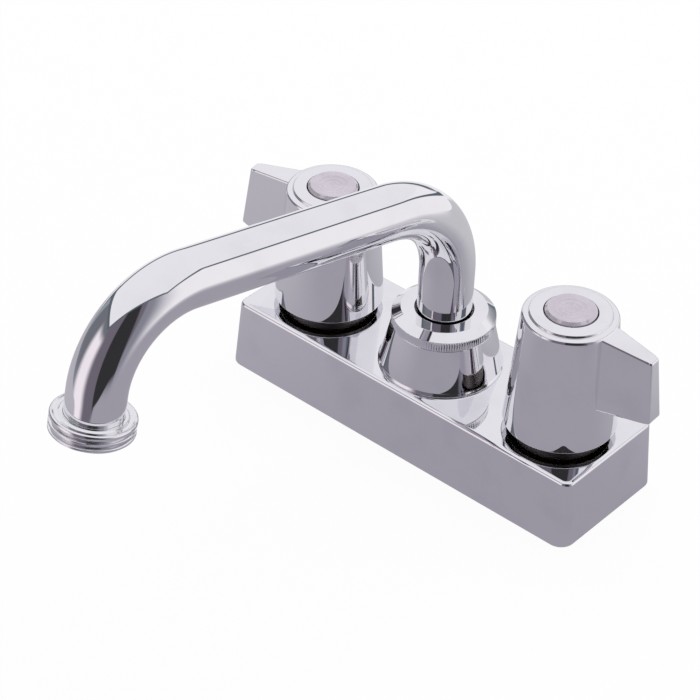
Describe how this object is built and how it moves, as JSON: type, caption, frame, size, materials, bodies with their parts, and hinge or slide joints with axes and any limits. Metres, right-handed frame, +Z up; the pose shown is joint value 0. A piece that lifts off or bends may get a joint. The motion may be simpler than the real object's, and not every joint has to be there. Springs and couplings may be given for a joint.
{
  "type": "utility sink faucet",
  "caption": "Deck-mounted utility sink faucet: rectangular chrome base, hot and cold wing handles, and a bent tube spout that swivels on a conical hub and ends in a hose thread.",
  "frame": {"origin": "on the deck, under the middle of the base, on the axis that the spout turns about", "axes": "+Z up, -Y to the front where the spout points, +X to the cold side, -X to the hot side"},
  "size_m": [0.1716, 0.1875, 0.1721],
  "materials": {
    "chrome": "polished chrome plate",
    "chrome_cover": "polished chrome plate on zinc",
    "button": "clear grey acrylic over a silver backing",
    "brass": "machined and cast brass",
    "rubber": "black sealing rubber",
    "gasket": "closed cell deck gasket",
    "ceramic": "lapped white ceramic",
    "steel": "stainless steel",
    "washer_plastic": "white acetal"
  },
  "bodies": {
    "root": {"base_shroud": "chrome_cover", "base_gasket": "gasket", "valve_body": "brass", "spout_hub": "chrome_cover", "spout_nut": "chrome", "hot_inlet_shank": "brass", "hot_mounting_washer": "steel", "hot_mounting_nut": "brass", "hot_ring_nut": "brass", "hot_bonnet": "brass", "hot_bonnet_seal": "rubber", "hot_seat_seal": "rubber", "hot_fixed_disc": "ceramic", "cold_inlet_shank": "brass", "cold_mounting_washer": "steel", "cold_mounting_nut": "brass", "cold_ring_nut": "brass", "cold_bonnet": "brass", "cold_bonnet_seal": "rubber", "cold_seat_seal": "rubber", "cold_fixed_disc": "ceramic"},
    "spout": {"spout_tube": "chrome", "hose_thread_end": "chrome", "spout_sleeve": "brass", "spout_seals": "rubber", "slip_washer": "washer_plastic"},
    "hot_control": {"hot_handle": "chrome", "hot_index_button": "button", "hot_handle_screw": "steel", "hot_stem": "brass", "hot_stem_seals": "rubber", "hot_stem_clip": "steel", "hot_moving_disc": "ceramic"},
    "cold_control": {"cold_handle": "chrome", "cold_index_button": "button", "cold_handle_screw": "steel", "cold_stem": "brass", "cold_stem_seals": "rubber", "cold_stem_clip": "steel", "cold_moving_disc": "ceramic"}
  },
  "joints": [
    {"name": "spout_swivel", "type": "hinge", "parent": "root", "child": "spout", "pos_m": [0, 0, 0.0425], "axis": [0, 0, 1], "continuous": true},
    {"name": "hot_turn", "type": "hinge", "parent": "root", "child": "hot_control", "pos_m": [-0.0508, 0, 0.0505], "axis": [0, 0, 1], "range_deg": [0, 90]},
    {"name": "cold_turn", "type": "hinge", "parent": "root", "child": "cold_control", "pos_m": [0.0508, 0, 0.0505], "axis": [0, 0, 1], "range_deg": [-90, 0]}
  ]
}
